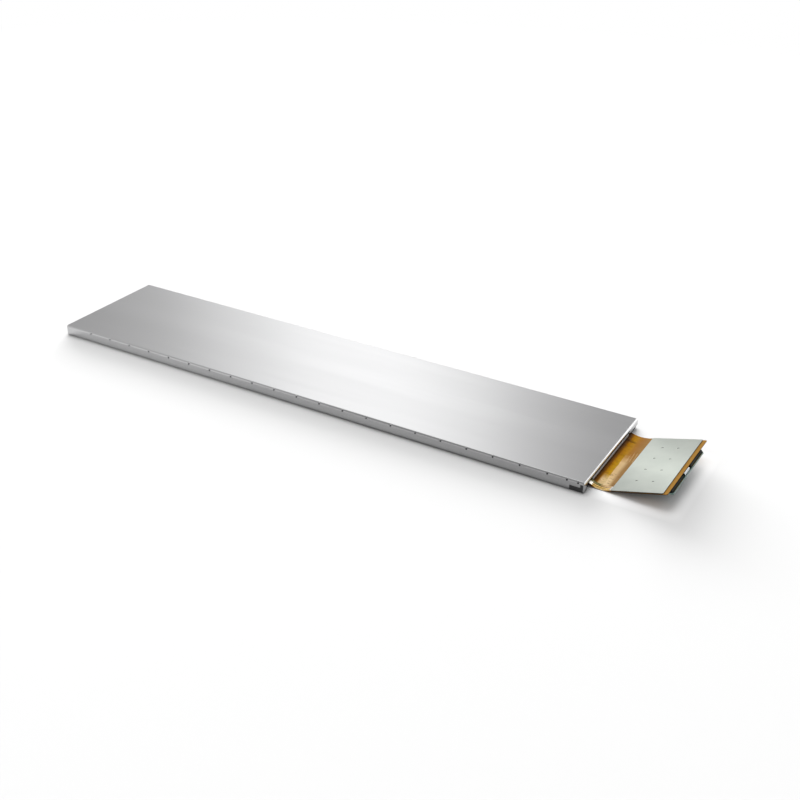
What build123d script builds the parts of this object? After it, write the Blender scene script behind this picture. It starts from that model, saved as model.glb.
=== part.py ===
from build123d import *
import os
from math import cos, radians, sin, tan

os.makedirs("parts", exist_ok=True)

# A bar display module lying on its face: a long liquid crystal cell, an edge-lit backlight
# behind it, a folded metal tray over the back, and a flexible circuit out of one short end.
# Millimetres. z = 0 is the display face, +Z the back, +X the flex end, -Y the lamp side.

# Whole module
panel_length = 236.0
panel_width = 53.4
panel_height = 4.2

# Folded rear tray
tray_sheet = 0.4
bend_radius = 0.8
blind_corner_radius = 1.2
tray_lift = 0.3
notch_width = 1.0
notch_depth = 0.95
notch_reach = 0.55
notch_slope = 72.0
notch_pitch = 10.4
notch_first = 14.2
extra_notch_end = 2.4
extra_notch_pitch = 4.1
extra_notch_gap = 7.3
corner_slit_start = 1.5
corner_slit_top = 1.0
wall_cut_length = 5.4
wall_cut_height = 1.75
end_flange_height = 0.9
end_tab_near = 2.4
end_tab_far = 9.2
end_tab_lift = 1.6

# Moulded middle frame
frame_fit = 0.05
frame_lift = 0.15
frame_skirt = 0.6
lamp_wall = 0.5
far_wall = 0.4
blind_wall = 1.0
lip_thickness = 0.4
lip_overlap = 0.3
end_step_depth = 0.8
end_step_height = 0.85
end_band_lift = 1.7
frame_boss_fit = 0.1
frame_chamfer = 0.25

# Liquid crystal cell
cell_fit = 0.1
glass_thickness = 0.5
front_film = 0.2
rear_film = 0.2
view_margin_blind = 2.65
view_margin_flex = 7.95
view_margin_lamp = 2.75
view_margin_far = 1.95
front_film_overlap = 0.5
rear_film_overlap = 0.1
seal_width = 1.5
ledge_width = 4.9
glass_corner = 0.6

# Tape between the cell and the frame
rim_tape = 0.25
rim_tape_inset = 0.1
rim_tape_end = 1.6

# Backlight layers
film_thickness = 0.15
light_guide_thickness = 1.3
light_run_on = 1.0
guide_gap = 0.1
film_inset = 0.05
reflector_thickness = 0.15

# Lamp strip
lamp_pitch = 7.9
lamp_end_gap = 4.0
lamp_length = 3.0
lamp_depth = 0.8
lamp_height = 0.8
lamp_window_length = 2.4
lamp_window_height = 0.5
lamp_window_depth = 0.15
lamp_gap = 0.02
strip_thickness = 0.1
strip_overlap = 1.2

# Driver chip and coating on the glass ledge
chip_length = 24.0
chip_width = 1.1
chip_height = 0.3
chip_gap = 0.9
coating_width = 0.9
coating_height = 0.25
coating_round = 0.2

# Main flexible circuit
flex_width = 41.85
flex_middle = -0.425
flex_thickness = 0.2
flex_bond = 1.6
flex_rise_start = 0.35
flex_crest_out = -0.2
flex_crest_height = 0.95
flex_dip_out = 3.55
flex_dip_height = -0.45
flex_ramp = 24.9
flex_tilt = 16.0
flat_start = 3.7
flat_turn = 1.2
rise_radius = 2.0
crest_radius = 1.1
dip_radius = 10.6
flex_window_gap = 0.5
flex_corner = 0.6

# Lamp tail lying on the main circuit
tail_width = 2.8
tail_edge = 0.5
tail_drop = 0.5
tail_drop_radius = 0.45
tail_slot_start = 0.25
tail_level = 1.5
tail_level_radius = 1.8
tail_reach = 3.46
tail_slot_gap = 0.15
pad_count = 3
pad_pitch = 0.9
pad_length = 0.6
pad_width = 0.55
pad_height = 0.1
pad_corner = 0.18

# Stiffener plate on the back of the circuit
plate_start = 4.65
bare_strip = 1.5
plate_edge = 0.15
plate_thickness = 0.3
adhesive_thickness = 0.05
adhesive_inset = 0.2
plate_corner = 0.4
dimple_diameter = 0.8
dimple_depth = 0.12
dimple_slope = 30.0
dimple_row_pitch = 5.9
dimple_pitch = 8.65
dimple_rows = 2
dimple_count = 4

# Insulating tape on the component side
cover_start = 3.8
cover_length = 11.5
cover_thickness = 0.15
cover_edge = 0.8

# Interface board under the end of the circuit
board_inset_near = 3.4
board_inset_far = 5.4
board_depth = 10.3
board_thickness = 0.6
board_overhang = 0.7
board_chamfer = 1.6
clip_bay_width = 7.0
clip_bay_offset = -1.2
stack_height = 1.0

# Stacked connector pairs between the circuit and the board
socket_depth = 4.0
socket_wall = 0.7
socket_floor = 0.2
socket_edge = 0.15
socket_setback = 0.35
socket_bay_gap = 0.3
plug_fit = 0.1
plug_lift = 0.05
contact_pitch = 0.5
contact_width = 0.2
contact_height = 0.1
contact_foot = 0.3
contact_margin = 1.0

# Ground clip in the bay between the connectors
clip_width = 4.8
clip_offset = -0.3
clip_sheet = 0.15
clip_reach = 1.8
clip_front_gap = 0.2

# Small parts on the circuit and the board
capacitor_length = 1.0
capacitor_width = 0.5
capacitor_height = 0.5
flex_capacitor_count = 6
flex_capacitor_pitch = 5.2
flex_capacitor_inset = 2.35
board_parts_gap = 0.9
board_capacitor_setback = 4.8
board_capacitor_pitch = 1.5
board_capacitor_rows = 2
board_capacitor_count = 4
regulator_setback = 7.8
regulator_size = 2.0
regulator_height = 0.6

# Cable socket on the lower face of the board
cable_socket_width = 20.0
cable_socket_depth = 4.4
cable_socket_height = 1.0
cable_socket_offset = -2.8
cable_socket_inset = 4.4
mouth_width = 16.0
mouth_height = 0.45
mouth_depth = 2.8
mouth_lift = 0.25
cable_contact_count = 30
cable_foot = 0.5
anchor_width = 0.8
anchor_depth = 1.6
anchor_height = 0.5

# Edges of the module
flex_end = panel_length / 2
blind_end = -panel_length / 2
lamp_side = -panel_width / 2
far_side = panel_width / 2

# Levels through the thickness, from the display face up
colour_glass_level = front_film
array_glass_level = colour_glass_level + glass_thickness
rear_film_level = array_glass_level + glass_thickness
lip_level = rear_film_level + rim_tape
films_level = lip_level + lip_thickness
guide_level = films_level + 3 * film_thickness
guide_top = guide_level + light_guide_thickness
tray_floor = panel_height - tray_sheet
frame_top = tray_floor - frame_fit

# Plan positions shared by several layers
skin = tray_sheet + frame_fit
view_length = panel_length - view_margin_blind - view_margin_flex
view_width = panel_width - view_margin_lamp - view_margin_far
view_x = (blind_end + view_margin_blind, blind_end + view_margin_blind + view_length)
view_y = (lamp_side + view_margin_lamp, lamp_side + view_margin_lamp + view_width)
cell_inset = skin + frame_skirt + cell_fit
cell_x = (blind_end + cell_inset, view_x[1] + seal_width + ledge_width)
cell_y = (lamp_side + cell_inset, far_side - cell_inset)
ledge_start = view_x[1] + seal_width
light_x = (blind_end + skin + blind_wall, ledge_start + light_run_on)
light_y = (lamp_side + skin + lamp_wall, far_side - skin - far_wall)
lamp_front = light_y[0] + lamp_gap + lamp_depth
guide_x = (light_x[0] + guide_gap, light_x[1] - guide_gap)
guide_y = (lamp_front + guide_gap, light_y[1] - guide_gap)
flex_y = (flex_middle - flex_width / 2, flex_middle + flex_width / 2)
extra_notches = [flex_end - extra_notch_end - extra_notch_pitch, flex_end - extra_notch_end]
notch_run = extra_notches[0] - extra_notch_gap - blind_end - notch_first
notch_count = round(notch_run / notch_pitch) + 1
notch_places = [blind_end + notch_first + notch_pitch * i for i in range(notch_count)] + extra_notches

# The far part of the circuit is flat and climbs: the ramp plane holds its middle layer, and the
# deck is the same plane turned in itself, as the stiffened end is set a little askew
tilt = radians(flex_tilt)
dip_point = Vector(flex_end + flex_dip_out, 0, flex_dip_height)
ramp = Plane(origin=dip_point, x_dir=(cos(tilt), 0, sin(tilt)), z_dir=(-sin(tilt), 0, cos(tilt)))
deck = Plane(ramp.location * Rot(Z=-flat_turn))
flex_back = flex_thickness / 2
flex_front = -flex_thickness / 2


def grown(span, amount):
    return (span[0] - amount, span[1] + amount)


def rectangle_over(x_span, y_span, mode=Mode.ADD):
    with Locations(((x_span[0] + x_span[1]) / 2, (y_span[0] + y_span[1]) / 2)):
        Rectangle(x_span[1] - x_span[0], y_span[1] - y_span[0], mode=mode)


# Rear tray: one sheet with four folded walls, relief notches along both long folds,
# a slit at each flex-end corner and a low flange over the flex window
with BuildPart() as rear_tray:
    with BuildSketch(Plane.XY.offset(tray_lift)):
        Rectangle(panel_length, panel_width)
    extrude(amount=panel_height - tray_lift)
    blind_corners = rear_tray.edges().filter_by(Axis.Z).group_by(Axis.X)[0]
    fillet(blind_corners, blind_corner_radius)
    fillet(rear_tray.faces().sort_by(Axis.Z)[-1].edges(), bend_radius)
    with BuildPart(mode=Mode.SUBTRACT) as tray_inside:
        with BuildSketch(Plane.XY.offset(tray_lift)):
            Rectangle(panel_length - 2 * tray_sheet, panel_width - 2 * tray_sheet)
        extrude(amount=tray_floor - tray_lift)
        inner_corners = tray_inside.edges().filter_by(Axis.Z).group_by(Axis.X)[0]
        fillet(inner_corners, blind_corner_radius - tray_sheet)
        fillet(tray_inside.faces().sort_by(Axis.Z)[-1].edges(), bend_radius - tray_sheet)
    for side in (lamp_side, far_side):
        with BuildSketch(Plane.XZ.offset(-side)):
            with Locations(*[(x, panel_height - notch_depth / 2) for x in notch_places]):
                Trapezoid(notch_width, notch_depth, notch_slope, rotation=180)
        extrude(amount=notch_reach, both=True, mode=Mode.SUBTRACT)
        with BuildSketch(Plane.XZ.offset(-side)):
            rectangle_over(
                (flex_end - corner_slit_start, flex_end - tray_sheet),
                (tray_lift, panel_height - corner_slit_top),
            )
        extrude(amount=tray_sheet, both=True, mode=Mode.SUBTRACT)
    with BuildSketch(Plane.XZ.offset(-lamp_side)):
        rectangle_over(
            (flex_end - wall_cut_length, flex_end - tray_sheet),
            (tray_lift, tray_lift + wall_cut_height),
        )
    extrude(amount=tray_sheet, both=True, mode=Mode.SUBTRACT)
    with BuildSketch(Plane.YZ.offset(flex_end)):
        rectangle_over(
            (lamp_side + end_tab_near, far_side - end_tab_far),
            (tray_lift, panel_height - end_flange_height),
        )
        rectangle_over((far_side - end_tab_far, far_side), (tray_lift, end_tab_lift))
    extrude(amount=tray_sheet, both=True, mode=Mode.SUBTRACT)
rear_tray.part.label = "rear_tray"
export_step(rear_tray.part, "parts/rear_tray.step")

# Middle frame: a moulded rim that holds the cell below its lip and the light layers above it
frame_x = (blind_end + skin, flex_end - skin)
frame_y = (lamp_side + skin, far_side - skin)
flex_window_y = grown(flex_y, flex_window_gap)
step_y = (lamp_side + end_tab_near, far_side - end_tab_far)
tail_y = (flex_y[0] + tail_edge, flex_y[0] + tail_edge + tail_width)
tail_slot_y = grown(tail_y, tail_slot_gap)
tail_drop_x = cell_x[1] - tail_drop
tail_slot_x = grown((tail_drop_x, tail_drop_x), tail_drop_radius + tail_slot_gap)
with BuildPart() as mid_frame:
    with BuildSketch(Plane.XY.offset(frame_lift)):
        rectangle_over(frame_x, frame_y)
    extrude(amount=frame_top - frame_lift)
    fillet(mid_frame.edges().filter_by(Axis.Z).group_by(Axis.X)[0], blind_corner_radius - skin)
    chamfer(mid_frame.faces().sort_by(Axis.Z)[-1].edges(), frame_chamfer)
    with BuildSketch(Plane.XY.offset(frame_lift)):
        rectangle_over(grown(cell_x, cell_fit), grown(cell_y, cell_fit))
    extrude(amount=lip_level - frame_lift, mode=Mode.SUBTRACT)
    with BuildSketch(Plane.XY.offset(lip_level)):
        rectangle_over(grown(view_x, lip_overlap), grown(view_y, lip_overlap))
    extrude(amount=lip_thickness, mode=Mode.SUBTRACT)
    with BuildSketch(Plane.XY.offset(films_level)):
        rectangle_over(light_x, light_y)
    extrude(amount=frame_top - films_level, mode=Mode.SUBTRACT)
    with BuildSketch(Plane.XY.offset(frame_lift)):
        rectangle_over((cell_x[1] - tail_slot_start, flex_end), flex_window_y)
    extrude(amount=end_band_lift - frame_lift, mode=Mode.SUBTRACT)
    with BuildSketch(Plane.XY.offset(frame_top)):
        rectangle_over((frame_x[1] - end_step_depth, flex_end), step_y)
    extrude(amount=-end_step_height, mode=Mode.SUBTRACT)
    with BuildSketch(Plane.XY.offset(lip_level)):
        rectangle_over(tail_slot_x, tail_slot_y)
    extrude(amount=frame_top - lip_level, mode=Mode.SUBTRACT)
    with BuildSketch(Plane.XY.offset(lip_level)):
        rectangle_over((tail_slot_x[0], flex_end), tail_slot_y)
    extrude(amount=end_band_lift - lip_level, mode=Mode.SUBTRACT)
    with BuildSketch(Plane.XY.offset(guide_top)):
        rectangle_over((light_x[1], tail_slot_x[1]), (light_y[0], tail_slot_y[1]))
    extrude(amount=frame_top - guide_top, mode=Mode.SUBTRACT)
    with BuildSketch(Plane.XZ.offset(-frame_y[0])):
        rectangle_over(
            (flex_end - wall_cut_length + frame_boss_fit, flex_end - skin),
            (tray_lift, tray_lift + wall_cut_height - frame_boss_fit),
        )
    extrude(amount=tray_sheet)
    for side in frame_y:
        out = 1 if side < 0 else -1
        with BuildSketch(Plane.XZ.offset(-side)):
            rectangle_over(
                (flex_end - corner_slit_start + frame_boss_fit, flex_end - skin),
                (tray_lift, panel_height - corner_slit_top - frame_boss_fit),
            )
        extrude(amount=out * tray_sheet)
mid_frame.part.label = "mid_frame"
export_step(mid_frame.part, "parts/mid_frame.step")

# Cell: two glass sheets, the array glass running on past the other as a bonding ledge
with BuildPart() as tft_glass:
    with BuildSketch(Plane.XY.offset(array_glass_level)):
        rectangle_over(cell_x, cell_y)
    extrude(amount=glass_thickness)
    chamfer(tft_glass.edges().filter_by(Axis.Z).group_by(Axis.X)[-1], glass_corner)
tft_glass.part.label = "tft_glass"
export_step(tft_glass.part, "parts/tft_glass.step")

with BuildPart() as colour_filter_glass:
    with BuildSketch(Plane.XY.offset(colour_glass_level)):
        rectangle_over((cell_x[0], ledge_start), cell_y)
    extrude(amount=glass_thickness)
colour_filter_glass.part.label = "colour_filter_glass"
export_step(colour_filter_glass.part, "parts/colour_filter_glass.step")

with BuildPart() as front_polariser:
    with BuildSketch():
        rectangle_over(grown(view_x, front_film_overlap), grown(view_y, front_film_overlap))
    extrude(amount=front_film)
front_polariser.part.label = "front_polariser"
export_step(front_polariser.part, "parts/front_polariser.step")

with BuildPart() as rear_polariser:
    with BuildSketch(Plane.XY.offset(rear_film_level)):
        rectangle_over(grown(view_x, rear_film_overlap), grown(view_y, rear_film_overlap))
    extrude(amount=rear_film)
rear_polariser.part.label = "rear_polariser"
export_step(rear_polariser.part, "parts/rear_polariser.step")

# Tape ring that holds the cell to the frame's lip and keeps stray light in
with BuildPart() as rim_light_tape:
    with BuildSketch(Plane.XY.offset(rear_film_level)):
        rectangle_over((cell_x[0] + rim_tape_inset, cell_x[1] - rim_tape_end), grown(cell_y, -rim_tape_inset))
        rectangle_over(grown(view_x, lip_overlap), grown(view_y, lip_overlap), mode=Mode.SUBTRACT)
    extrude(amount=rim_tape)
rim_light_tape.part.label = "rim_light_tape"
export_step(rim_light_tape.part, "parts/rim_light_tape.step")

# Light layers from the cell back: two crossed prism films, a diffuser, the guide, the reflector
film_x = grown(guide_x, -film_inset)
film_y = grown(guide_y, -film_inset)
for place, name in enumerate(("upper_prism_film", "lower_prism_film", "diffuser_film")):
    with BuildPart() as light_film:
        with BuildSketch(Plane.XY.offset(films_level + place * film_thickness)):
            rectangle_over(film_x, film_y)
        extrude(amount=film_thickness)
    light_film.part.label = name
    export_step(light_film.part, f"parts/{name}.step")

with BuildPart() as light_guide_plate:
    with BuildSketch(Plane.XY.offset(guide_level)):
        rectangle_over(guide_x, guide_y)
    extrude(amount=light_guide_thickness)
light_guide_plate.part.label = "light_guide_plate"
export_step(light_guide_plate.part, "parts/light_guide_plate.step")

with BuildPart() as reflector_sheet:
    with BuildSketch(Plane.XY.offset(guide_top)):
        rectangle_over(film_x, (guide_y[0] + strip_overlap + guide_gap, film_y[1]))
    extrude(amount=reflector_thickness)
reflector_sheet.part.label = "reflector_sheet"
export_step(reflector_sheet.part, "parts/reflector_sheet.step")

# Lamp strip: side-emitting lamps hang from a narrow circuit whose tail drops behind the
# frame and out through the flex window onto the main circuit
crest_point = (flex_end + flex_crest_out, flex_crest_height)
dip_plan = (dip_point.X, dip_point.Z)
fall = (dip_plan[1] - crest_point[1]) / (dip_plan[0] - crest_point[0])
fall_cosine = 1 / (1 + fall * fall) ** 0.5
tail_offset = flex_back + strip_thickness / 2
tail_level_x = crest_point[0] + (crest_point[1] + tail_offset / fall_cosine - tail_level) / -fall
climb_height = tail_offset / cos(tilt)
fall_height = tail_offset / fall_cosine
tail_dip_x = dip_plan[0] + (fall_height - climb_height) / (tan(tilt) - fall)
tail_dip = (tail_dip_x, dip_plan[1] + climb_height + (tail_dip_x - dip_plan[0]) * tan(tilt))
strip_middle = guide_top + strip_thickness / 2
turn_x = (light_x[1] + guide_gap, tail_drop_x - tail_drop_radius)
strip_x = (light_x[0] + guide_gap, turn_x[1])
strip_y = (light_y[0] + lamp_gap, guide_y[0] + strip_overlap)
lamp_middle = (guide_x[0] + guide_x[1]) / 2
lamp_run = guide_x[1] - guide_x[0] - 2 * lamp_end_gap - lamp_length
lamp_count = int(lamp_run / lamp_pitch) + 1
tail_end = (tail_dip[0] + tail_reach * cos(tilt), tail_dip[1] + tail_reach * sin(tilt))
with BuildPart() as lamp_strip:
    with BuildSketch(Plane.XY.offset(guide_top)):
        rectangle_over(strip_x, strip_y)
        rectangle_over(turn_x, (strip_y[0], tail_y[1]))
    extrude(amount=strip_thickness)
    with BuildLine(Plane.XZ.offset(-(tail_y[0] + tail_y[1]) / 2)) as tail_path:
        FilletPolyline(
            (turn_x[1] - strip_thickness, strip_middle),
            (tail_drop_x, strip_middle),
            (tail_drop_x, tail_level),
            (tail_level_x, tail_level),
            tail_dip,
            tail_end,
            radius=(tail_drop_radius, tail_drop_radius, tail_level_radius, dip_radius - tail_offset),
        )
    with BuildSketch(Plane(origin=tail_path.line @ 0, x_dir=(0, 1, 0), z_dir=tail_path.line % 0)):
        Rectangle(tail_width, strip_thickness)
    sweep()
lamp_strip.part.label = "lamp_strip"
export_step(lamp_strip.part, "parts/lamp_strip.step")

lamp_centre = (lamp_middle, lamp_front - lamp_depth / 2, guide_top - lamp_height / 2)
with BuildPart() as lamps:
    with Locations(lamp_centre):
        with GridLocations(lamp_pitch, 1, lamp_count, 1):
            Box(lamp_length, lamp_depth, lamp_height)
    with BuildSketch(Plane.XZ.offset(-lamp_front)):
        with Locations((lamp_middle, guide_top - lamp_height / 2)):
            with GridLocations(lamp_pitch, 1, lamp_count, 1):
                Rectangle(lamp_window_length, lamp_window_height)
    extrude(amount=lamp_window_depth, mode=Mode.SUBTRACT)
lamps.part.label = "lamps"
export_step(lamps.part, "parts/lamps.step")

with BuildPart() as lamp_windows:
    with BuildSketch(Plane.XZ.offset(-lamp_front)):
        with Locations((lamp_middle, guide_top - lamp_height / 2)):
            with GridLocations(lamp_pitch, 1, lamp_count, 1):
                Rectangle(lamp_window_length, lamp_window_height)
    extrude(amount=lamp_window_depth)
lamp_windows.part.label = "lamp_windows"
export_step(lamp_windows.part, "parts/lamp_windows.step")

# Driver chip and coating bead on the front of the glass ledge
chip_middle_x = ledge_start + chip_gap + chip_width / 2
with BuildPart() as driver_chip:
    with BuildSketch(Plane.XY.offset(array_glass_level)):
        with Locations((chip_middle_x, flex_middle)):
            Rectangle(chip_width, chip_length)
    extrude(amount=-chip_height)
driver_chip.part.label = "driver_chip"
export_step(driver_chip.part, "parts/driver_chip.step")

bond_x = cell_x[1] - flex_bond
with BuildPart() as ledge_coating:
    with BuildSketch(Plane.XY.offset(array_glass_level)):
        rectangle_over((bond_x - coating_width, bond_x), flex_y)
    extrude(amount=-coating_height)
    bead_edge = ledge_coating.edges().filter_by(Axis.Y).group_by(Axis.Z)[0].sort_by(Axis.X)[0]
    fillet(bead_edge, coating_round)
ledge_coating.part.label = "ledge_coating"
export_step(ledge_coating.part, "parts/ledge_coating.step")

# Main circuit: bonded under the ledge, it rises out of the flex window, dips to the table
# and climbs flat from there
bond_level = array_glass_level - flex_thickness / 2
flat_start_point = (dip_plan[0] + flat_start * cos(tilt), dip_plan[1] + flat_start * sin(tilt))
flat_end = [Vector(flex_ramp, y).rotate(Axis.Z, -flat_turn) for y in flex_y]
with BuildPart() as main_flex:
    with BuildLine(Plane.XZ.offset(-flex_middle)) as flex_path:
        FilletPolyline(
            (bond_x, bond_level),
            (cell_x[1] + flex_rise_start, bond_level),
            crest_point,
            dip_plan,
            flat_start_point,
            radius=(rise_radius, crest_radius, dip_radius),
        )
    with BuildSketch(Plane(origin=flex_path.line @ 0, x_dir=(0, 1, 0), z_dir=flex_path.line % 0)):
        Rectangle(flex_width, flex_thickness)
    sweep()
    with BuildSketch(ramp.offset(flex_front)) as flat_outline:
        with BuildLine():
            Polyline((flat_start, flex_y[0]), *flat_end, (flat_start, flex_y[1]), close=True)
        make_face()
        fillet(flat_outline.vertices().sort_by(Axis.X)[-2:], flex_corner)
    extrude(amount=flex_thickness)
main_flex.part.label = "main_flex"
export_step(main_flex.part, "parts/main_flex.step")

# Solder joints between the end of the lamp tail and the main circuit
tail_end_u = (tail_end[0] - dip_plan[0]) * cos(tilt) + (tail_end[1] - dip_plan[1]) * sin(tilt)
with BuildPart() as tail_solder:
    with BuildSketch(ramp.offset(flex_back)):
        with Locations((tail_end_u + pad_length / 2, (tail_y[0] + tail_y[1]) / 2)):
            with GridLocations(1, pad_pitch, 1, pad_count):
                RectangleRounded(pad_length, pad_width, pad_corner)
    extrude(amount=pad_height)
tail_solder.part.label = "tail_solder"
export_step(tail_solder.part, "parts/tail_solder.step")

# Stiffener plate with its adhesive
plate_y = grown(flex_y, -plate_edge)
plate_u = (plate_start, flex_ramp - bare_strip)
plate_middle = ((plate_u[0] + plate_u[1]) / 2, flex_middle)
with BuildPart() as stiffener_adhesive:
    with BuildSketch(deck.offset(flex_back)):
        rectangle_over(grown(plate_u, -adhesive_inset), grown(plate_y, -adhesive_inset))
    extrude(amount=adhesive_thickness)
stiffener_adhesive.part.label = "stiffener_adhesive"
export_step(stiffener_adhesive.part, "parts/stiffener_adhesive.step")

plate_back = flex_back + adhesive_thickness + plate_thickness
with BuildPart() as stiffener_plate:
    with BuildSketch(deck.offset(flex_back + adhesive_thickness)):
        with Locations(plate_middle):
            RectangleRounded(plate_u[1] - plate_u[0], plate_y[1] - plate_y[0], plate_corner)
    extrude(amount=plate_thickness)
    with BuildSketch(deck.offset(plate_back)):
        with Locations(plate_middle):
            with GridLocations(dimple_row_pitch, dimple_pitch, dimple_rows, dimple_count):
                Circle(dimple_diameter / 2)
    extrude(amount=-dimple_depth, taper=dimple_slope, mode=Mode.SUBTRACT)
stiffener_plate.part.label = "stiffener_plate"
export_step(stiffener_plate.part, "parts/stiffener_plate.step")

# Insulating tape over the component side, between the dip and the board
with BuildPart() as insulating_tape:
    with BuildSketch(deck.offset(flex_front)):
        with Locations((cover_start + cover_length / 2, flex_middle)):
            RectangleRounded(cover_length, flex_width - 2 * cover_edge, cover_edge)
    extrude(amount=-cover_thickness)
insulating_tape.part.label = "insulating_tape"
export_step(insulating_tape.part, "parts/insulating_tape.step")

# Interface board, one stack height under the circuit, its outer edge running on past it
board_back = flex_front - stack_height
board_front = board_back - board_thickness
board_u = (flex_ramp + board_overhang - board_depth, flex_ramp + board_overhang)
board_y = (flex_y[0] + board_inset_near, flex_y[1] - board_inset_far)
board_middle = (board_y[0] + board_y[1]) / 2
bay_middle = board_middle + clip_bay_offset
bay_y = (bay_middle - clip_bay_width / 2, bay_middle + clip_bay_width / 2)
with BuildPart() as interface_board:
    with BuildSketch(deck.offset(board_back)):
        rectangle_over(board_u, board_y)
    extrude(amount=-board_thickness)
    outer_far_corner = interface_board.faces().sort_by(Axis.Y)[-1].edges().sort_by(Axis.X)[-1]
    chamfer(outer_far_corner, board_chamfer)
interface_board.part.label = "interface_board"
export_step(interface_board.part, "parts/interface_board.step")

# Two connector pairs, one each side of the clip: sockets on the board, plugs on the circuit
socket_u = (board_u[1] - socket_setback - socket_depth, board_u[1] - socket_setback)
socket_spans = {
    "near": (board_y[0] + socket_edge, bay_y[0] - socket_bay_gap),
    "far": (bay_y[1] + socket_bay_gap, board_y[1] - board_chamfer - socket_edge),
}
socket_top = flex_front - plug_lift
for name, span in socket_spans.items():
    contact_total = int((span[1] - span[0] - 2 * contact_margin) / contact_pitch)
    middle_y = (span[0] + span[1]) / 2
    with BuildPart() as board_socket:
        with BuildSketch(deck.offset(board_back)):
            rectangle_over(socket_u, span)
        extrude(amount=stack_height - plug_lift)
        with BuildSketch(deck.offset(socket_top)):
            rectangle_over(grown(socket_u, -socket_wall), grown(span, -socket_wall))
        extrude(amount=-(stack_height - plug_lift - socket_floor), mode=Mode.SUBTRACT)
    board_socket.part.label = f"board_socket_{name}"
    export_step(board_socket.part, f"parts/board_socket_{name}.step")

    with BuildPart() as flex_plug:
        with BuildSketch(deck.offset(flex_front)):
            rectangle_over(grown(socket_u, -socket_wall - plug_fit), grown(span, -socket_wall - plug_fit))
        extrude(amount=-(stack_height - socket_floor - plug_fit))
    flex_plug.part.label = f"flex_plug_{name}"
    export_step(flex_plug.part, f"parts/flex_plug_{name}.step")

    with BuildPart() as socket_contacts:
        with BuildSketch(deck.offset(board_back)):
            for foot_u in (socket_u[0] - contact_foot / 2, socket_u[1] + contact_foot / 2):
                with Locations((foot_u, middle_y)):
                    with GridLocations(1, contact_pitch, 1, contact_total):
                        Rectangle(contact_foot, contact_width)
        extrude(amount=contact_height)
    socket_contacts.part.label = f"socket_contacts_{name}"
    export_step(socket_contacts.part, f"parts/socket_contacts_{name}.step")

# Ground clip: a bent strip between the circuit and the board, its bright front turned outwards
clip_middle = bay_middle + clip_offset
clip_y = (clip_middle - clip_width / 2, clip_middle + clip_width / 2)
clip_front = board_u[1] - clip_front_gap
clip_leg_end = clip_front - clip_reach
with BuildPart() as ground_clip:
    clip_plane = Plane(origin=deck.from_local_coords((0, clip_y[0], 0)), x_dir=deck.x_dir, z_dir=-deck.y_dir)
    with BuildSketch(clip_plane):
        with BuildLine():
            Polyline(
                (clip_leg_end, flex_front),
                (clip_front, flex_front),
                (clip_front, board_back),
                (clip_leg_end, board_back),
                (clip_leg_end, board_back + clip_sheet),
                (clip_front - clip_sheet, board_back + clip_sheet),
                (clip_front - clip_sheet, flex_front - clip_sheet),
                (clip_leg_end, flex_front - clip_sheet),
                close=True,
            )
        make_face()
    extrude(amount=-clip_width)
ground_clip.part.label = "ground_clip"
export_step(ground_clip.part, "parts/ground_clip.step")

# Ceramic capacitors: a row on the circuit above the board, and a block on the board's lower
# face beside the cable socket
cable_u = (board_u[1] - cable_socket_inset - cable_socket_depth, board_u[1] - cable_socket_inset)
cable_socket_middle = board_middle + cable_socket_offset
cable_y = (cable_socket_middle - cable_socket_width / 2, cable_socket_middle + cable_socket_width / 2)
board_parts_half = (board_capacitor_pitch * (board_capacitor_count - 1) + capacitor_width) / 2
board_parts_y = cable_y[1] + anchor_width + board_parts_gap + board_parts_half
with BuildPart() as flex_capacitors:
    with BuildSketch(deck.offset(flex_front)):
        with Locations((board_u[0] + flex_capacitor_inset, board_middle)):
            with GridLocations(1, flex_capacitor_pitch, 1, flex_capacitor_count):
                Rectangle(capacitor_width, capacitor_length)
    extrude(amount=-capacitor_height)
flex_capacitors.part.label = "flex_capacitors"
export_step(flex_capacitors.part, "parts/flex_capacitors.step")

with BuildPart() as board_capacitors:
    with BuildSketch(deck.offset(board_front)):
        with Locations((board_u[1] - board_capacitor_setback, board_parts_y)):
            with GridLocations(
                board_capacitor_pitch, board_capacitor_pitch, board_capacitor_rows, board_capacitor_count
            ):
                Rectangle(capacitor_length, capacitor_width)
    extrude(amount=-capacitor_height)
board_capacitors.part.label = "board_capacitors"
export_step(board_capacitors.part, "parts/board_capacitors.step")

with BuildPart() as voltage_regulator:
    with BuildSketch(deck.offset(board_front)):
        with Locations((board_u[1] - regulator_setback, board_parts_y)):
            Rectangle(regulator_size, regulator_size)
    extrude(amount=-regulator_height)
voltage_regulator.part.label = "voltage_regulator"
export_step(voltage_regulator.part, "parts/voltage_regulator.step")

# Cable socket on the lower face of the board, its mouth towards the outer edge
mouth_level = board_front - mouth_lift
with BuildPart() as cable_socket:
    with BuildSketch(deck.offset(board_front)):
        rectangle_over(cable_u, cable_y)
    extrude(amount=-cable_socket_height)
    with BuildSketch(deck.offset(mouth_level)):
        with Locations((cable_u[1] - mouth_depth / 2, cable_socket_middle)):
            Rectangle(mouth_depth, mouth_width)
    extrude(amount=-mouth_height, mode=Mode.SUBTRACT)
cable_socket.part.label = "cable_socket"
export_step(cable_socket.part, "parts/cable_socket.step")

with BuildPart() as cable_contacts:
    with BuildSketch(deck.offset(board_front)):
        with Locations((cable_u[0] - cable_foot / 2, cable_socket_middle)):
            with GridLocations(1, contact_pitch, 1, cable_contact_count):
                Rectangle(cable_foot, contact_width)
    extrude(amount=-contact_height)
cable_contacts.part.label = "cable_contacts"
export_step(cable_contacts.part, "parts/cable_contacts.step")

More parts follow.
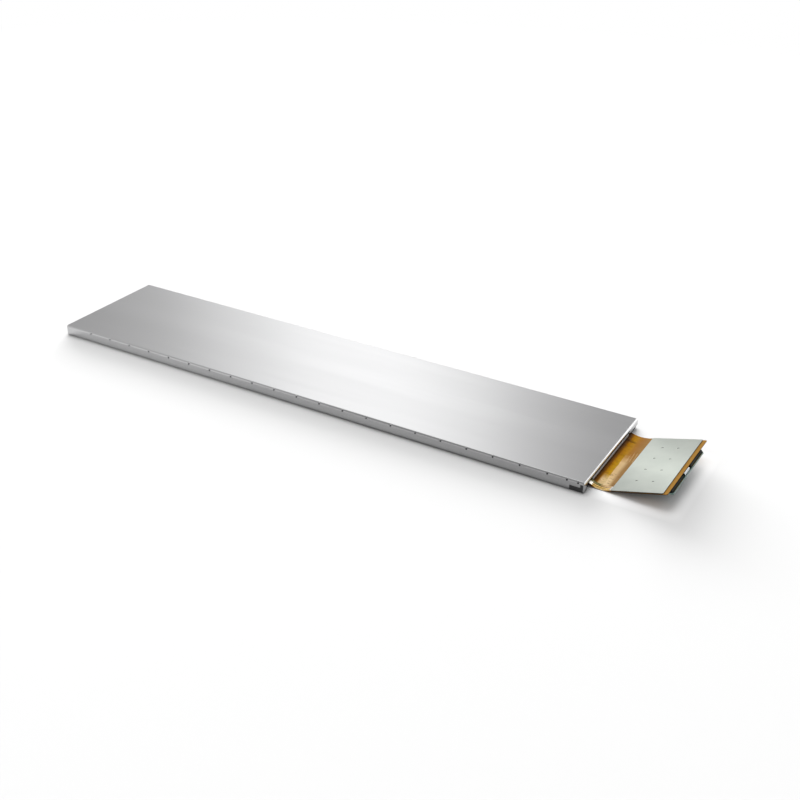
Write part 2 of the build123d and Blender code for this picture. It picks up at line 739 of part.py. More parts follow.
with BuildPart() as socket_anchors:
    with BuildSketch(deck.offset(board_front)):
        with Locations(((cable_u[0] + cable_u[1]) / 2, cable_socket_middle)):
            with GridLocations(1, cable_socket_width + anchor_width, 1, 2):
                Rectangle(anchor_depth, anchor_width)
    extrude(amount=-anchor_height)
socket_anchors.part.label = "socket_anchors"
export_step(socket_anchors.part, "parts/socket_anchors.step")
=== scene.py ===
import math

import bpy
from mathutils import Matrix, Vector


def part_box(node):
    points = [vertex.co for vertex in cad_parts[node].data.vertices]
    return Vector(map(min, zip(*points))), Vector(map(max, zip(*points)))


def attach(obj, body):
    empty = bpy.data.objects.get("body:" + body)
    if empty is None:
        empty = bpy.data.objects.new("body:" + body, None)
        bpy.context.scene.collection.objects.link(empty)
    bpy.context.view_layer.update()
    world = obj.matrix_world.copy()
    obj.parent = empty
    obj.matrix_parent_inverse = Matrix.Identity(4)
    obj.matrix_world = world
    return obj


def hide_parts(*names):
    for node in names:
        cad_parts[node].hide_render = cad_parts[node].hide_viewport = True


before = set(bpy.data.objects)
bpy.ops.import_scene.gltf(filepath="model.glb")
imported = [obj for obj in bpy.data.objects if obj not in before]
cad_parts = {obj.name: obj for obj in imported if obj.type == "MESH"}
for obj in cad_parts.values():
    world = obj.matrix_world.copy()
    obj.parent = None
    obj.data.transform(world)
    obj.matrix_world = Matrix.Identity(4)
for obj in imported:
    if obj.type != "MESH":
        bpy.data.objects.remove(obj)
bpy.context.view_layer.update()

mm = 0.001  # every size below that is in millimetres is multiplied by this
scene = bpy.context.scene


def linkTo(tree, source, target):
    tree.links.new(source, target)


def fillSocket(tree, socket, value):
    # a node output is linked, anything else is set
    if isinstance(value, bpy.types.NodeSocket):
        linkTo(tree, value, socket)
    else:
        socket.default_value = value


def addNode(tree, kind, **inputs):
    # makes a node and fills the sockets named, where _ stands for a space
    node = tree.nodes.new(kind)
    for name, value in inputs.items():
        fillSocket(tree, node.inputs[name.replace("_", " ")], value)
    return node


def mathNode(tree, operation, first, second=0.0, third=0.0):
    node = tree.nodes.new("ShaderNodeMath")
    node.operation = operation
    for socket, value in zip(node.inputs, (first, second, third)):
        fillSocket(tree, socket, value)
    return node.outputs[0]


def multiply(tree, first, *others):
    product = first
    for other in others:
        product = mathNode(tree, "MULTIPLY", product, other)
    return product


def fadeOver(tree, value, start, end, low=0.0, high=1.0):
    # goes from low to high while the value goes from start to end
    return addNode(tree, "ShaderNodeMapRange", Value=value, From_Min=start, From_Max=end, To_Min=low,
                   To_Max=high).outputs[0]


def mixColours(tree, factor, first, second, blend="MIX"):
    node = tree.nodes.new("ShaderNodeMix")
    node.data_type = "RGBA"
    node.blend_type = blend
    fillSocket(tree, node.inputs[0], factor)
    for socket, colour in ((node.inputs[6], first), (node.inputs[7], second)):
        plain = not isinstance(colour, bpy.types.NodeSocket)
        fillSocket(tree, socket, (*colour, 1) if plain else colour)
    return node.outputs[2]


def tinted(tree, colour, tone):
    return mixColours(tree, 1.0, colour, tone, "MULTIPLY")


def rampNode(tree, value, stops, interpolation="LINEAR"):
    # each stop is a place and a level, or a place and a colour
    node = tree.nodes.new("ShaderNodeValToRGB")
    node.color_ramp.interpolation = interpolation
    while len(node.color_ramp.elements) < len(stops):
        node.color_ramp.elements.new(0.5)
    for element, (place, tone) in zip(node.color_ramp.elements, stops):
        element.position = place
        element.color = (tone, tone, tone, 1) if isinstance(tone, (int, float)) else (*tone, 1)
    linkTo(tree, value, node.inputs[0])
    return node.outputs[0]


def newMaterial(name):
    material = bpy.data.materials.new(name)
    material.use_nodes = True
    tree = material.node_tree
    return material, tree, tree.nodes["Principled BSDF"]


def stretched(tree, vector, scale, turn=0.0):
    return addNode(tree, "ShaderNodeMapping", Vector=vector, Rotation=(0, turn, 0), Scale=scale).outputs[0]


def placeInMm(tree, stretch=(1, 1, 1), turn=0.0):
    # object coordinates in millimetres, turned about Y where a pattern follows the sloping end
    coordinate = tree.nodes.new("ShaderNodeTexCoord").outputs["Object"]
    return stretched(tree, coordinate, tuple(share / mm for share in stretch), turn)


def splitAxes(tree, vector):
    return addNode(tree, "ShaderNodeSeparateXYZ", Vector=vector).outputs


def noiseNode(tree, vector, scale, detail=3.0, rough=0.5):
    return addNode(tree, "ShaderNodeTexNoise", Vector=vector, Scale=scale, Detail=detail,
                   Roughness=rough).outputs[0]


def facing(tree, direction, low=0.8, high=0.95, eitherSide=False):
    # one on faces that look along the direction, nought on the others
    dot = tree.nodes.new("ShaderNodeVectorMath")
    dot.operation = "DOT_PRODUCT"
    linkTo(tree, tree.nodes.new("ShaderNodeTexCoord").outputs["Normal"], dot.inputs[0])
    dot.inputs[1].default_value = direction
    share = dot.outputs["Value"]
    if eitherSide:
        share = mathNode(tree, "ABSOLUTE", share)
    return fadeOver(tree, share, low, high)


def addBump(tree, shader, height, strength, depth):
    bump = addNode(tree, "ShaderNodeBump", Height=height, Strength=strength, Distance=depth * mm)
    linkTo(tree, bump.outputs[0], shader.inputs["Normal"])


# Camera: where the photograph was taken from
cameraSetup = {
    "place": (224.2325, -347.7857, 215.1607),
    "lens": 52.2216,
    "sensor": 36,
    "yaw": -0.507682688,
    "pitch": 0.49787225,
    "roll": 0.0262622604,
    "clip": (0.01, 50),
}


def makeCamera(setup):
    yaw, pitch, roll = setup["yaw"], setup["pitch"], setup["roll"]
    plumb = Vector((0, 0, 1))
    flatAhead = Vector((math.sin(yaw), math.cos(yaw), 0))
    flatRight = Vector((math.cos(yaw), -math.sin(yaw), 0))
    ahead = flatAhead * math.cos(pitch) - plumb * math.sin(pitch)
    upright = flatAhead * math.sin(pitch) + plumb * math.cos(pitch)
    right = flatRight * math.cos(roll) + upright * math.sin(roll)
    up = upright * math.cos(roll) - flatRight * math.sin(roll)
    data = bpy.data.cameras.new("photoCamera")
    data.lens = setup["lens"]
    data.sensor_width = setup["sensor"]
    data.clip_start, data.clip_end = setup["clip"]
    camera = bpy.data.objects.new("photoCamera", data)
    scene.collection.objects.link(camera)
    turn = Matrix((right, up, -ahead)).transposed().to_4x4()
    camera.matrix_world = Matrix.Translation(Vector(setup["place"]) * mm) @ turn
    scene.camera = camera
    return flatAhead


viewAhead = makeCamera(cameraSetup)
scene.view_settings.view_transform = "Standard"
print("camera placed")

# Studio: pale floor, white surroundings, soft lamps, and reflectors that only gloss sees. Sizes in metres
studio = {
    "floorSize": 12.0,
    "floorColour": (0.57, 0.57, 0.57),
    "paintedLightColour": (0.84, 0.84, 0.84),  # painted light: a paler floor just under the circuit's end, standing in for light coming in from the side
    "paintedLightArea": ((0.118, 0.124, 0.1445, 0.152), (-0.028, -0.022, 0.012, 0.024)),  # along X, then along Y
    "whiteSpan": (0.30, 0.75),  # between these distances the floor is seen as plain white
    "ambient": 0.62,
    "skyGloss": ((0.0, 1.0), (0.55, 0.95), (0.95, 0.62)),  # what gloss sees, from the horizon upwards
    "topLamp": {"place": (-1.0, 1.0, 3.0), "size": (3.2, 2.4), "power": 52.0},
    "lowLamp": {"place": (-3.78, 4.66, 0.95), "size": (5.6, 0.86), "power": 892.0},
    "midLamp": {"place": (-3.6, 4.44, 1.9), "size": (5.6, 1.25), "power": 336.0},
    "backReflector": {
        "distance": 2.2, "bottom": 0.02, "size": (2.6, 3.2), "power": 2.16,
        # bright in the middle, dim towards both ends of the module
        "shade": ((0.00, 0.27), (0.235, 0.27), (0.30, 0.36), (0.37, 0.62), (0.43, 0.86), (0.50, 0.90),
                  (0.56, 0.74), (0.615, 0.45), (0.68, 0.28), (1.0, 0.25))},
    "endReflector": {"place": (0.39, 1.45, 0.45), "size": (1.09, 0.63), "power": 2.4},
}


def mixShaders(tree, factor, first, second):
    node = tree.nodes.new("ShaderNodeMixShader")
    for socket, source in zip(node.inputs, (factor, first, second)):
        linkTo(tree, source, socket)
    return node.outputs[0]


def seenDirectly(tree):
    # two masks: rays from the camera only, and those together with rays off gloss or through glass
    path = tree.nodes.new("ShaderNodeLightPath").outputs
    either = mathNode(tree, "MAXIMUM", path["Is Camera Ray"], path["Is Glossy Ray"])
    return path["Is Camera Ray"], mathNode(tree, "MAXIMUM", either, path["Is Transmission Ray"])


def makeFloor(setup):
    bpy.ops.mesh.primitive_plane_add(size=setup["floorSize"], location=(0, 0, 0))
    floor = bpy.context.object
    floor.name = "floor"
    material, tree, shader = newMaterial("paleFloor")
    tree.nodes.remove(shader)
    fromCamera, direct = seenDirectly(tree)
    geometry = tree.nodes.new("ShaderNodeNewGeometry").outputs
    # painted light: the floor colour is paler in a soft box under the circuit's end
    paintedLight = 1.0
    for value, (rise, full, hold, fall) in zip(splitAxes(tree, geometry["Position"]), setup["paintedLightArea"]):
        paintedLight = multiply(tree, fadeOver(tree, value, rise, full), fadeOver(tree, value, fall, hold), paintedLight)
    colour = mixColours(tree, paintedLight, setup["floorColour"], setup["paintedLightColour"])
    matte = addNode(tree, "ShaderNodeBsdfDiffuse", Color=colour).outputs[0]
    # far from the module the floor is plain white, so it has no edge against the surroundings
    reach = tree.nodes.new("ShaderNodeVectorMath")
    reach.operation = "LENGTH"
    linkTo(tree, geometry["Position"], reach.inputs[0])
    far = fadeOver(tree, reach.outputs["Value"], *setup["whiteSpan"])
    white = addNode(tree, "ShaderNodeEmission", Color=(1, 1, 1, 1), Strength=1.0).outputs[0]
    shown = mixShaders(tree, multiply(tree, far, direct), matte, white)
    # a camera below the floor sees through it
    clear = tree.nodes.new("ShaderNodeBsdfTransparent").outputs[0]
    under = multiply(tree, geometry["Backfacing"], fromCamera)
    linkTo(tree, mixShaders(tree, under, shown, clear), tree.nodes["Material Output"].inputs[0])
    floor.data.materials.append(material)
    return floor


def makeWorld(setup):
    world = bpy.data.worlds.new("studioWorld")
    scene.world = world
    world.use_nodes = True
    tree = world.node_tree
    tree.nodes.clear()
    fromCamera, direct = seenDirectly(tree)
    height = splitAxes(tree, tree.nodes.new("ShaderNodeTexCoord").outputs["Generated"])[2]
    shaded = rampNode(tree, height, setup["skyGloss"], "EASE")
    seen = mixColours(tree, fromCamera, shaded, (1, 1, 1))
    lit = addNode(tree, "ShaderNodeBackground", Color=(1, 1, 1, 1), Strength=setup["ambient"]).outputs[0]
    shownSky = addNode(tree, "ShaderNodeBackground", Color=seen, Strength=1.0).outputs[0]
    output = tree.nodes.new("ShaderNodeOutputWorld")
    linkTo(tree, mixShaders(tree, direct, lit, shownSky), output.inputs[0])


def makeLamp(name, setup):
    # a soft rectangular lamp that points at the middle of the module
    data = bpy.data.lights.new(name, "AREA")
    data.shape = "RECTANGLE"
    data.size, data.size_y = setup["size"]
    data.energy = setup["power"]
    lamp = bpy.data.objects.new(name, data)
    scene.collection.objects.link(lamp)
    lamp.location = setup["place"]
    lamp.rotation_mode = "QUATERNION"
    lamp.rotation_quaternion = (-Vector(setup["place"])).to_track_quat("-Z", "Y")
    lamp.visible_camera = False
    lamp.visible_glossy = False
    return lamp


def makeReflector(name, centre, towards, setup):
    # a glowing card that only glossy surfaces see
    bpy.ops.mesh.primitive_plane_add(size=1, location=centre)
    card = bpy.context.object
    card.name = name
    card.rotation_mode = "QUATERNION"
    card.rotation_quaternion = towards.to_track_quat("Z", "Y")
    card.scale = (*setup["size"], 1)
    material, tree, shader = newMaterial(name)
    tree.nodes.remove(shader)
    strength = setup["power"]
    if "shade" in setup:
        across = splitAxes(tree, tree.nodes.new("ShaderNodeTexCoord").outputs["Object"])[0]
        level = rampNode(tree, mathNode(tree, "ADD", across, 0.5), setup["shade"], "EASE")
        strength = multiply(tree, level, strength)
    glow = addNode(tree, "ShaderNodeEmission", Color=(1, 1, 1, 1), Strength=strength)
    linkTo(tree, glow.outputs[0], tree.nodes["Material Output"].inputs[0])
    card.data.materials.append(material)
    card.visible_camera = False
    card.visible_diffuse = False
    card.visible_shadow = False
    card.visible_transmission = False


floor = makeFloor(studio)
makeWorld(studio)
makeLamp("topLamp", studio["topLamp"])
floorOnly = bpy.data.collections.new("floorOnly")  # two lamps brighten the floor and leave the module alone
floorOnly.objects.link(floor)
for lampName in ("lowLamp", "midLamp"):
    sideLamp = makeLamp(lampName, studio[lampName])
    sideLamp.light_linking.receiver_collection = floorOnly
backCard = studio["backReflector"]
eye = Vector(cameraSetup["place"]) * mm
cardMiddle = Vector((eye.x, eye.y, backCard["bottom"] + backCard["size"][1] / 2))
makeReflector("backReflector", cardMiddle + viewAhead * backCard["distance"], -viewAhead, backCard)
endCard = studio["endReflector"]
makeReflector("endReflector", endCard["place"], -Vector(endCard["place"]), endCard)
print("studio set")

# Finishes: one row for each. tint is the second colour of a soft mottle, grain says how fine the bump is
finishes = {
    "traySatin": {
        "base": (0.492, 0.492, 0.496), "tint": (0.472, 0.472, 0.476), "mottle": 0.05, "metallic": 1.0,
        "rough": (0.19, 0.23), "roughScale": 0.35, "grain": 7.0, "stretch": (0.05, 1.0, 1.0), "bump": 0.015},
    "framePlastic": {
        "base": (0.115, 0.115, 0.12), "tint": (0.095, 0.095, 0.10), "mottle": 0.6,
        "rough": (0.42, 0.55), "roughScale": 1.3, "grain": 9.0, "bump": 0.12},
    "sealFoil": {
        "base": (0.45, 0.45, 0.46), "tint": (0.37, 0.36, 0.37), "mottle": 0.5,
        "rough": (0.40, 0.55), "roughScale": 1.0, "grain": 8.0, "bump": 0.1},
    "polariserFilm": {
        "base": (0.012, 0.012, 0.014), "tint": (0.016, 0.016, 0.020), "mottle": 0.08,
        "rough": (0.16, 0.22), "roughScale": 0.2, "grain": 14.0, "bump": 0.02, "coat": 0.3},
    "blackTape": {
        "base": (0.018, 0.018, 0.018), "tint": (0.026, 0.026, 0.026), "mottle": 0.8,
        "rough": (0.5, 0.62), "roughScale": 1.0, "grain": 6.0, "bump": 0.08},
    "prismFilm": {
        "base": (0.78, 0.80, 0.82), "tint": (0.72, 0.75, 0.79), "mottle": 0.2,
        "rough": (0.2, 0.28), "roughScale": 0.3, "grain": 20.0, "stretch": (0.05, 1.0, 1.0), "bump": 0.2},
    "diffuserFilm": {
        "base": (0.86, 0.86, 0.86), "tint": (0.82, 0.82, 0.83), "mottle": 0.3,
        "rough": (0.55, 0.65), "roughScale": 1.0, "grain": 16.0, "bump": 0.08},
    "guideAcrylic": {
        "base": (0.80, 0.86, 0.87), "tint": (0.74, 0.82, 0.84), "mottle": 0.1,
        "rough": (0.06, 0.12), "roughScale": 0.4, "grain": 5.0, "bump": 0.02, "glassy": 0.6},
    "reflectorFilm": {
        "base": (0.88, 0.88, 0.87), "tint": (0.84, 0.84, 0.84), "mottle": 0.2,
        "rough": (0.25, 0.35), "roughScale": 0.5, "grain": 8.0, "bump": 0.03},
    "lampBody": {
        "base": (0.80, 0.80, 0.76), "tint": (0.74, 0.74, 0.70), "mottle": 1.0,
        "rough": (0.35, 0.45), "roughScale": 2.0, "grain": 9.0, "bump": 0.05},
    "lampPhosphor": {
        "base": (0.78, 0.62, 0.06), "tint": (0.66, 0.46, 0.04), "mottle": 3.0,
        "rough": (0.2, 0.3), "roughScale": 3.0, "grain": 12.0, "bump": 0.1, "coat": 0.4},
    "chipSilicon": {
        "base": (0.10, 0.10, 0.12), "tint": (0.14, 0.13, 0.16), "mottle": 0.5, "metallic": 0.8,
        "rough": (0.10, 0.18), "roughScale": 1.0, "grain": 12.0, "bump": 0.01},
    "clearCoating": {
        "base": (0.45, 0.52, 0.56), "tint": (0.36, 0.44, 0.50), "mottle": 0.7,
        "rough": (0.2, 0.32), "roughScale": 1.2, "grain": 3.0, "bump": 0.1, "glassy": 0.4},
    "plateAdhesive": {
        "base": (0.006, 0.005, 0.005), "tint": (0.010, 0.008, 0.008), "mottle": 1.2, "shine": 0.06,
        "rough": (0.5, 0.65), "roughScale": 1.5, "grain": 6.0, "bump": 0.08},
    "connectorPlastic": {
        "base": (0.006, 0.008, 0.008), "tint": (0.012, 0.018, 0.015), "mottle": 1.1, "shine": 0.06,
        "rough": (0.38, 0.5), "roughScale": 2.0, "grain": 10.0, "bump": 0.08},
    "goldContact": {
        "base": (0.80, 0.56, 0.20), "tint": (0.70, 0.46, 0.14), "mottle": 3.0, "metallic": 1.0,
        "rough": (0.18, 0.28), "roughScale": 3.0, "grain": 14.0, "bump": 0.04},
    "tinPlate": {
        "base": (0.60, 0.63, 0.65), "tint": (0.48, 0.51, 0.53), "mottle": 1.5, "metallic": 1.0,
        "rough": (0.16, 0.26), "roughScale": 2.0, "grain": 12.0, "stretch": (1.0, 0.1, 1.0), "bump": 0.05},
    "solderFillet": {
        "base": (0.66, 0.66, 0.65), "tint": (0.52, 0.52, 0.52), "mottle": 3.0, "metallic": 1.0,
        "rough": (0.22, 0.36), "roughScale": 4.0, "grain": 8.0, "bump": 0.12},
    "ceramicBody": {
        "base": (0.30, 0.19, 0.10), "tint": (0.22, 0.13, 0.07), "mottle": 3.0,
        "rough": (0.35, 0.5), "roughScale": 4.0, "grain": 16.0, "bump": 0.1},
    "packageBlack": {
        "base": (0.022, 0.022, 0.023), "tint": (0.034, 0.034, 0.034), "mottle": 2.0,
        "rough": (0.45, 0.6), "roughScale": 3.0, "grain": 14.0, "bump": 0.15},
}
finishShared = {"mottleSpan": ((0.35, 0.0), (0.65, 1.0)), "wearSpan": (0.3, 0.7), "wearDetail": 4.0,
                "grainDetail": 2.0, "bumpDepth": 0.05}


def makeFinish(name, look, shared):
    material, tree, shader = newMaterial(name)
    vector = placeInMm(tree, look.get("stretch", (1, 1, 1)))
    mottle = rampNode(tree, noiseNode(tree, vector, look["mottle"]), shared["mottleSpan"], "EASE")
    linkTo(tree, mixColours(tree, mottle, look["base"], look["tint"]), shader.inputs["Base Color"])
    wear = noiseNode(tree, vector, look["roughScale"], shared["wearDetail"])
    linkTo(tree, fadeOver(tree, wear, *shared["wearSpan"], *look["rough"]), shader.inputs["Roughness"])
    grain = noiseNode(tree, vector, look["grain"], shared["grainDetail"])
    addBump(tree, shader, grain, look["bump"], shared["bumpDepth"])
    shader.inputs["Metallic"].default_value = look.get("metallic", 0.0)
    shader.inputs["Coat Weight"].default_value = look.get("coat", 0.0)
    shader.inputs["Specular IOR Level"].default_value = look.get("shine", 0.5)
    shader.inputs["Transmission Weight"].default_value = look.get("glassy", 0.0)
    return material


made = {name: makeFinish(name, look, finishShared) for name, look in finishes.items()}

# Finishes with a pattern of their own
slope = math.radians(16)  # the stiffened end of the circuit climbs at this angle
slopeUp = (-math.sin(slope), 0, math.cos(slope))
softSpan = ((0.3, 0.0), (0.7, 1.0))  # turns a noise into a soft cloud

# Lamp tail: bright copper lines along its near edge, a green cover layer beside them
tailLook = {
    "film": (0.40, 0.20, 0.02), "edge": (0.10, 0.05, 0.01), "glint": (0.98, 0.95, 0.86),
    "rest": (0.52, 0.31, 0.10), "cover": (0.105, 0.085, 0.0), "coverStreak": (0.22, 0.19, 0.0),
    "gold": (0.90, 0.56, 0.10), "dark": (0.05, 0.02, 0.001),
    "nearEdge": -20.85, "width": 3.0, "outsideFrom": 115.5,
    # what lies at each share of the width, from the near edge inwards
    "lines": ((0.0, "gold"), (0.13, "gold"), (0.17, "dark"), (0.26, "dark"), (0.30, "gold"), (0.42, "gold"),
              (0.46, "dark"), (0.54, "dark"), (0.58, "cover"), (1.0, "cover")),
    "coverFrom": 0.56,
    "glintSpan": (118.70, 118.35), "glintAcross": (0.62, 0.5), "glintMetal": 0.65, "metal": 0.35,
    "restSpan": (121.0, 121.8),
    "streakSize": (0.6, 3.2, 0.0), "streakSpan": ((0.42, 0.0), (0.60, 1.0)), "streakRough": 0.12,
    "rough": 0.2, "topSpan": (0.4, 0.7), "bump": 0.3, "bumpDepth": 0.05, "coat": 0.3,
}


def makeTailFinish(look):
    material, tree, shader = newMaterial("tailFilm")
    vector = placeInMm(tree)
    x, y = splitAxes(tree, vector)[:2]
    inward = mathNode(tree, "DIVIDE", mathNode(tree, "SUBTRACT", y, look["nearEdge"]), look["width"])
    lines = rampNode(tree, inward, [(place, look[layer]) for place, layer in look["lines"]])
    streaks = noiseNode(tree, stretched(tree, vector, look["streakSize"]), 1.0)
    streaks = rampNode(tree, streaks, look["streakSpan"], "EASE")
    inCover = mathNode(tree, "GREATER_THAN", inward, look["coverFrom"])
    covered = mixColours(tree, multiply(tree, streaks, inCover), lines, look["coverStreak"])
    outside = mathNode(tree, "GREATER_THAN", x, look["outsideFrom"])
    tone = mixColours(tree, outside, look["film"], covered)
    resting = multiply(tree, fadeOver(tree, x, *look["restSpan"]), inCover)
    tone = mixColours(tree, resting, tone, look["rest"])
    # painted glint: the crest is coloured near white, and made more metallic, where it leaves the tray
    paintedGlint = multiply(tree, fadeOver(tree, x, *look["glintSpan"]), outside,
                    fadeOver(tree, inward, *look["glintAcross"]))
    tone = mixColours(tree, paintedGlint, tone, look["glint"])
    top = facing(tree, (0, 0, 1), *look["topSpan"], True)
    linkTo(tree, mixColours(tree, top, look["edge"], tone), shader.inputs["Base Color"])
    rough = mathNode(tree, "MULTIPLY_ADD", streaks, look["streakRough"], look["rough"])
    linkTo(tree, rough, shader.inputs["Roughness"])
    metal = mathNode(tree, "MULTIPLY_ADD", paintedGlint, look["glintMetal"], look["metal"])
    linkTo(tree, metal, shader.inputs["Metallic"])
    addBump(tree, shader, streaks, look["bump"], look["bumpDepth"])
    shader.inputs["Coat Weight"].default_value = look["coat"]
    return material


# Main circuit: amber film with faint tracks, bands across its bend with painted shadow and painted sheen,
# painted shading on creases, and flecks
flexLook = {
    "edge": (0.012, 0.005, 0.004), "strip": (0.42, 0.212, 0.038), "glint": (0.86, 0.66, 0.38),
    "speck": (0.16, 0.09, 0.035), "rough": (0.26, 0.40), "shine": 0.02, "topSpan": (0.5, 0.8),
    "tracePitch": 0.42, "traceSpan": ((0.38, 0.0), (0.52, 1.0)), "traceTint": (0.72, 0.66, 0.5),
    "traceShare": 0.35, "patchSize": (0.02, 0.35, 0.0), "patchSpan": ((0.42, 0.15), (0.62, 0.75)),
    # colours along the bent run, at millimetres from bandStart, near end then far end; the dark first stops
    # are painted tray shadow, the pale near stops painted sheen
    "bandStart": 117.0, "bandLength": 10.0, "bandSway": 0.5, "farSpan": (-1.0, 5.5), "farSway": 5.0,
    "nearBands": ((0.0, (0.02, 0.006, 0.0)), (1.2, (0.06, 0.02, 0.0)), (2.1, (0.25, 0.09, 0.0)),
                  (2.6, (0.46, 0.20, 0.0)), (3.6, (0.54, 0.28, 0.004)), (4.40, (0.54, 0.31, 0.022)),
                  (4.55, (0.80, 0.55, 0.27)), (6.0, (0.72, 0.50, 0.26)), (6.6, (0.55, 0.36, 0.17)),
                  (7.3, (0.38, 0.22, 0.085)), (8.0, (0.36, 0.20, 0.07))),
    "farBands": ((0.0, (0.02, 0.006, 0.0)), (1.2, (0.05, 0.015, 0.0)), (2.1, (0.22, 0.08, 0.0)),
                 (2.6, (0.41, 0.165, 0.0)), (3.6, (0.47, 0.22, 0.004)), (4.6, (0.47, 0.23, 0.022)),
                 (5.2, (0.42, 0.19, 0.03)), (6.6, (0.38, 0.18, 0.045)), (8.0, (0.38, 0.20, 0.055))),
    "paleAcross": (-10.5, -14.5), "paleStart": (119.2, 119.9), "paleEnd": (124.0, 122.2), "paleShare": 0.75,
    "fleckAcross": (-7.0, -10.0), "fleckSpan": ((0.60, 0.0), (0.68, 1.0)), "fleckShare": 0.8,
    "stripSpan": (126.0, 128.0), "bentSpan": (122.2, 121.0),
    "blotches": ((0.30, 0.78), (0.50, 1.0), (0.66, 1.10)),
    # painted shade and highlight of the lengthwise wrinkles near the far edge, at shares of 20 mm from the
    # middle
    "paintedWrinkleShade": ((0.0, 1.0), (0.52, 1.0), (0.56, 0.86), (0.60, 1.0), (0.70, 1.04), (0.735, 0.42),
                 (0.765, 0.62), (0.80, 1.0)),
    "wrinkleReach": 20.0, "wrinkleSway": 1.6,
    # painted highlight: thin bright lines just before the plate, where the film catches the light
    "ridgePitch": 0.55, "ridgeSlant": 0.06, "ridgeSpan": ((0.0, 1.0), (0.16, 0.0)), "ridgeFrom": 122.9,
    "ridgeShare": ((0.0, 0.0), (0.12, 0.5), (0.70, 0.5), (0.85, 0.0)), "ridgeReach": 10.0,
    "bump": 0.35, "bumpDepth": 0.06, "traceHeight": 0.25,
    # scale, detail and roughness of each noise
    "patchNoise": (1.0, 2.0), "bandNoise": (0.22, 2.0), "farNoise": (0.5, 3.0), "fleckNoise": (0.9, 3.0, 0.6),
    "wrinkleNoise": (0.45, 2.0), "blotchNoise": (0.55, 4.0, 0.65), "glossNoise": (0.35, 4.0),
    "bumpNoise": (0.6, 3.0),
}


def swayed(tree, value, vector, noise, swing):
    # moves a place to and fro by a slow noise
    sway = mathNode(tree, "MULTIPLY_ADD", noiseNode(tree, vector, *noise), swing, -swing / 2)
    return mathNode(tree, "ADD", value, sway)


def makeFlexFinish(look):
    material, tree, shader = newMaterial("flexFilm")
    vector = placeInMm(tree)
    x, y = splitAxes(tree, vector)[:2]
    # tracks run along the circuit, thinned here and there by a slow noise across it
    wave = mathNode(tree, "PINGPONG", mathNode(tree, "DIVIDE", y, look["tracePitch"]), 0.5)
    track = rampNode(tree, multiply(tree, wave, 2.0), look["traceSpan"], "EASE")
    patch = noiseNode(tree, stretched(tree, vector, look["patchSize"]), *look["patchNoise"])
    patch = rampNode(tree, patch, look["patchSpan"], "EASE")
    # bands across the bend: painted shadow of the tray at its start, a painted pale sheen on the near side
    length = look["bandLength"]
    along = swayed(tree, x, vector, look["bandNoise"], look["bandSway"])
    along = mathNode(tree, "DIVIDE", mathNode(tree, "SUBTRACT", along, look["bandStart"]), length)
    nearTone = rampNode(tree, along, [(place / length, tone) for place, tone in look["nearBands"]])
    farTone = rampNode(tree, along, [(place / length, tone) for place, tone in look["farBands"]])
    farShare = fadeOver(tree, swayed(tree, y, vector, look["farNoise"], look["farSway"]), *look["farSpan"])
    bent = mixColours(tree, farShare, nearTone, farTone)
    # the near end carries a pale painted sheen over its creases, with dark flecks
    pastStart = fadeOver(tree, x, *look["paleStart"])
    paintedLight = multiply(tree, fadeOver(tree, y, *look["paleAcross"]), pastStart,
                    fadeOver(tree, x, *look["paleEnd"]), look["paleShare"])
    withPaintedSheen = mixColours(tree, paintedLight, bent, look["glint"])
    fleck = rampNode(tree, noiseNode(tree, vector, *look["fleckNoise"]), look["fleckSpan"])
    fleck = multiply(tree, fleck, fadeOver(tree, y, *look["fleckAcross"]), pastStart, look["fleckShare"])
    flecked = mixColours(tree, fleck, withPaintedSheen, look["speck"])
    inStrip = fadeOver(tree, x, *look["stripSpan"])
    whole = mixColours(tree, inStrip, flecked, look["strip"])
    # painted wrinkle shade and random blotches on the bent part only
    across = swayed(tree, y, vector, look["wrinkleNoise"], look["wrinkleSway"])
    paintedWrinkleShade = rampNode(tree, mathNode(tree, "DIVIDE", across, look["wrinkleReach"]), look["paintedWrinkleShade"])
    blotch = rampNode(tree, noiseNode(tree, vector, *look["blotchNoise"]), look["blotches"])
    wrinkled = tinted(tree, tinted(tree, whole, paintedWrinkleShade), blotch)
    whole = mixColours(tree, fadeOver(tree, x, *look["bentSpan"]), whole, wrinkled)
    slanted = mathNode(tree, "ADD", x, multiply(tree, y, look["ridgeSlant"]))
    paintedRidgeHighlight = rampNode(tree, mathNode(tree, "PINGPONG", slanted, look["ridgePitch"]), look["ridgeSpan"])
    ridgeShare = rampNode(tree, mathNode(tree, "DIVIDE", y, look["ridgeReach"]), look["ridgeShare"])
    paintedRidgeHighlight = multiply(tree, paintedRidgeHighlight, ridgeShare, mathNode(tree, "GREATER_THAN", x, look["ridgeFrom"]),
                     mathNode(tree, "SUBTRACT", 1.0, inStrip))
    whole = mixColours(tree, paintedRidgeHighlight, whole, look["glint"])
    shadeTrack = multiply(tree, track, patch, look["traceShare"])
    tracked = mixColours(tree, shadeTrack, whole, tinted(tree, whole, look["traceTint"]))
    # the side faces are near black: partly the film's dark cut edge, partly painted shade
    top = facing(tree, (0, 0, 1), *look["topSpan"], True)
    linkTo(tree, mixColours(tree, top, look["edge"], tracked), shader.inputs["Base Color"])
    cloud = rampNode(tree, noiseNode(tree, vector, *look["glossNoise"]), softSpan, "EASE")
    linkTo(tree, fadeOver(tree, cloud, 0.0, 1.0, *look["rough"]), shader.inputs["Roughness"])
    height = mathNode(tree, "ADD", multiply(tree, track, look["traceHeight"]),
                      noiseNode(tree, vector, *look["bumpNoise"]))
    addBump(tree, shader, height, look["bump"], look["bumpDepth"])
    shader.inputs["Specular IOR Level"].default_value = look["shine"]
    return material


def multiplyInPaintedLight(material, tone):
    # multiplies the finish's colour by a tone; used here to paint light and shade into it
    tree = material.node_tree
    base = tree.nodes["Principled BSDF"].inputs["Base Color"]
    linkTo(tree, tinted(tree, base.links[0].from_socket, tone), base)
